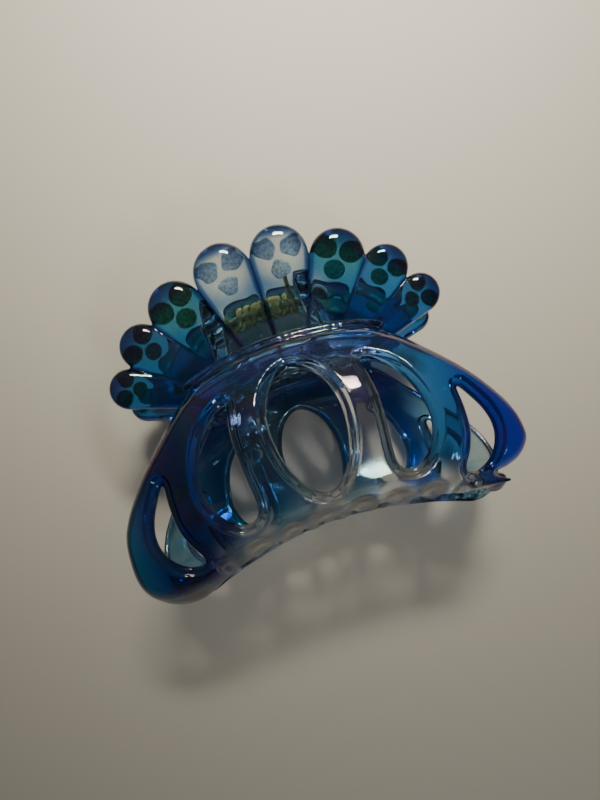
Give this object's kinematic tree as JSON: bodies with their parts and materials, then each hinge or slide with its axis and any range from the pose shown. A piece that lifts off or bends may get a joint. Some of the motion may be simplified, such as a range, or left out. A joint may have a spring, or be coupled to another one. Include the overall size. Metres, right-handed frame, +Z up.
{
  "type": "hair claw clip",
  "caption": "Spring-loaded hair claw clip with two curved windowed jaws, interlocking teeth and fan-shaped petal handles on a hinge pin.",
  "frame": {"origin": "centre of the bounding box's underside: the ground point below the middle of the lying clip", "axes": "+X along the hinge pin, towards the right end of the jaws; +Y from the teeth towards the handles; +Z up, out of the upper (front) jaw"},
  "size_m": [0.0816, 0.0708, 0.0467],
  "materials": {
    "clear_blue_plastic": "clear, glossy, tinted from deep blue at the ends to nearly colourless in the middle",
    "foil": "shiny green to silver foil",
    "steel": "drawn steel",
    "spring_wire": "brass-coloured plated wire"
  },
  "bodies": {
    "back_half": {"back_jaw": "clear_blue_plastic", "hinge_pin": "steel", "torsion_spring": "spring_wire", "back_dot_left1_1": "foil", "back_dot_left1_2": "foil", "back_dot_left1_3": "foil", "back_dot_left2_1": "foil", "back_dot_left2_2": "foil", "back_dot_left2_3": "foil", "back_dot_left3_1": "foil", "back_dot_left3_2": "foil", "back_dot_left3_3": "foil", "back_dot_left4_1": "foil", "back_dot_left4_2": "foil", "back_dot_left4_3": "foil", "back_dot_right1_1": "foil", "back_dot_right1_2": "foil", "back_dot_right1_3": "foil", "back_dot_right2_1": "foil", "back_dot_right2_2": "foil", "back_dot_right2_3": "foil", "back_dot_right3_1": "foil", "back_dot_right3_2": "foil", "back_dot_right3_3": "foil", "back_dot_right4_1": "foil", "back_dot_right4_2": "foil", "back_dot_right4_3": "foil"},
    "front_half": {"front_jaw": "clear_blue_plastic", "front_dot_left1_1": "foil", "front_dot_left1_2": "foil", "front_dot_left1_3": "foil", "front_dot_left2_1": "foil", "front_dot_left2_2": "foil", "front_dot_left2_3": "foil", "front_dot_left3_1": "foil", "front_dot_left3_2": "foil", "front_dot_left3_3": "foil", "front_dot_left4_1": "foil", "front_dot_left4_2": "foil", "front_dot_left4_3": "foil", "front_dot_right1_1": "foil", "front_dot_right1_2": "foil", "front_dot_right1_3": "foil", "front_dot_right2_1": "foil", "front_dot_right2_2": "foil", "front_dot_right2_3": "foil", "front_dot_right3_1": "foil", "front_dot_right3_2": "foil", "front_dot_right3_3": "foil", "front_dot_right4_1": "foil", "front_dot_right4_2": "foil", "front_dot_right4_3": "foil"}
  },
  "joints": [
    {"name": "jaw_hinge", "type": "hinge", "parent": "back_half", "child": "front_half", "pos_m": [0, 0.02183, 0.01933], "axis": [-1, 0, 0], "range_deg": [0, 60], "stiffness_Nm_per_rad": 0.06, "springref_deg": -68.75, "deforming": ["torsion_spring"]}
  ]
}
